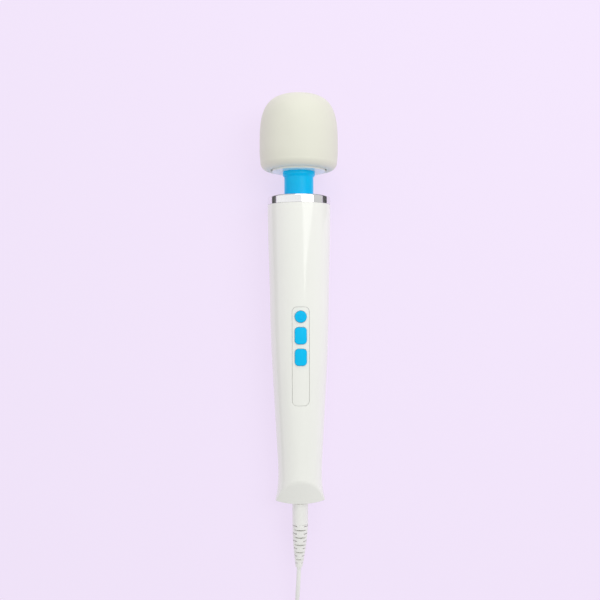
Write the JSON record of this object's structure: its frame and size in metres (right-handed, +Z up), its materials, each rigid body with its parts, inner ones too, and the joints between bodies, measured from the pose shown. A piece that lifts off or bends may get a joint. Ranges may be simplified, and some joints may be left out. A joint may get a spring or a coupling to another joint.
{
  "type": "handheld wand massager",
  "caption": "Handheld wand massager with a soft round vibrating head on a flexible neck, a long tapered handle with push buttons, and a plug-in lead wound for storage beside its wall adapter.",
  "frame": {"origin": "on the surface that the wand lies on, midway between the tail end and the crown of the head; the free lead and its adapter aren't counted", "axes": "+Y along the wand towards the head, +X across it, +Z up out of its button side; the wand's own axis rises 2.6 degrees towards the head"},
  "size_m": [0.0907, 0.5919, 0.0624],
  "materials": {
    "shell_white": "high gloss moulded plastic",
    "panel_white": "gloss moulded plastic",
    "chrome": "bright chrome plating",
    "blue_silicone": "satin silicone",
    "button_blue": "satin moulded plastic",
    "head_silicone": "matte silicone",
    "cord_white": "satin vinyl",
    "plug_white": "satin moulded plastic",
    "grey_plastic": "moulded",
    "black_plastic": "moulded",
    "black_rubber": "matte",
    "steel": "drawn and turned",
    "brass": "turned",
    "copper": "enamelled winding wire",
    "magnet": "sintered",
    "board_green": "solder mask on glass-epoxy board",
    "wire_red": "vinyl insulation",
    "wire_blue": "vinyl insulation",
    "label_silver": "blank printed foil",
    "tie_black": "hook and loop strap"
  },
  "bodies": {
    "handle": {"front_shell": "shell_white", "rear_shell": "shell_white", "chrome_ring": "chrome", "neck_socket": "grey_plastic", "control_strip": "panel_white", "rating_label": "label_silver", "shell_screws": "steel", "screw_plugs": "shell_white", "circuit_board": "board_green", "board_screws": "steel", "board_components": "black_plastic", "tact_switches": "black_plastic", "keypad": "grey_plastic", "dc_socket": "black_plastic", "socket_leads": "wire_red", "motor_can": "steel", "motor_end_cap": "black_plastic", "motor_magnets": "magnet", "motor_bushes": "brass", "motor_brushes": "grey_plastic", "motor_mount_front": "black_rubber", "motor_mount_rear": "black_rubber", "motor_leads": "wire_blue"},
    "rotor": {"motor_shaft": "steel", "motor_armature": "copper", "commutator": "brass", "drive_hub": "brass", "drive_spring": "steel"},
    "neck": {"neck_boot": "blue_silicone", "neck_spring": "steel"},
    "head": {"head_base": "shell_white", "head_drum": "grey_plastic", "head_lid": "grey_plastic", "head_bearings": "steel", "head_screws": "steel", "head_cap": "head_silicone"},
    "eccentric": {"eccentric_shaft": "steel", "eccentric_weight": "brass", "weight_screw": "black_plastic"},
    "power": {"power_button": "button_blue"},
    "level_up": {"up_button": "button_blue"},
    "level_down": {"down_button": "button_blue"},
    "lead": {"dc_plug": "steel", "plug_grip": "plug_white", "strain_relief": "plug_white", "lead": "cord_white", "lead_coil": "cord_white", "lead_tail": "cord_white", "coil_tie": "tie_black", "adapter_relief": "plug_white", "adapter_base": "plug_white", "adapter_cover": "plug_white", "adapter_blades": "steel", "adapter_board": "board_green", "adapter_transformer": "black_plastic", "adapter_parts": "black_plastic"}
  },
  "joints": [
    {"name": "neck_tilt", "type": "hinge", "parent": "handle", "child": "neck", "pos_m": [0, 0.09174, 0.02982], "axis": [1, 0, 0], "range_deg": [-15, 15], "stiffness_Nm_per_rad": 3, "deforming": ["neck_boot", "neck_spring", "drive_spring"]},
    {"name": "neck_sway", "type": "hinge", "parent": "neck", "child": "head", "pos_m": [0, 0.09174, 0.02982], "axis": [0, -0.0454, 0.999], "range_deg": [-15, 15], "stiffness_Nm_per_rad": 3, "deforming": ["neck_boot", "neck_spring", "drive_spring"]},
    {"name": "motor_spin", "type": "hinge", "parent": "handle", "child": "rotor", "pos_m": [0, 0.09174, 0.02982], "axis": [0, 0.999, 0.0454], "continuous": true},
    {"name": "eccentric_spin", "type": "hinge", "parent": "head", "child": "eccentric", "pos_m": [0, 0.09174, 0.02982], "axis": [0, 0.999, 0.0454], "continuous": true},
    {"name": "power_press", "type": "slide", "parent": "handle", "child": "power", "axis": [0, 0.0872, -0.9962], "range_m": [0, 0.0008], "stiffness_N_per_m": 800},
    {"name": "up_press", "type": "slide", "parent": "handle", "child": "level_up", "axis": [0, 0.0872, -0.9962], "range_m": [0, 0.0008], "stiffness_N_per_m": 800},
    {"name": "down_press", "type": "slide", "parent": "handle", "child": "level_down", "axis": [0, 0.0872, -0.9962], "range_m": [0, 0.0008], "stiffness_N_per_m": 800},
    {"name": "plug_pull", "type": "slide", "parent": "handle", "child": "lead", "axis": [0, -0.999, -0.0454], "range_m": [0, 0.0095]}
  ],
  "couplings": [
    {"joint": "eccentric_spin", "follows": "motor_spin", "ratio": 1}
  ]
}
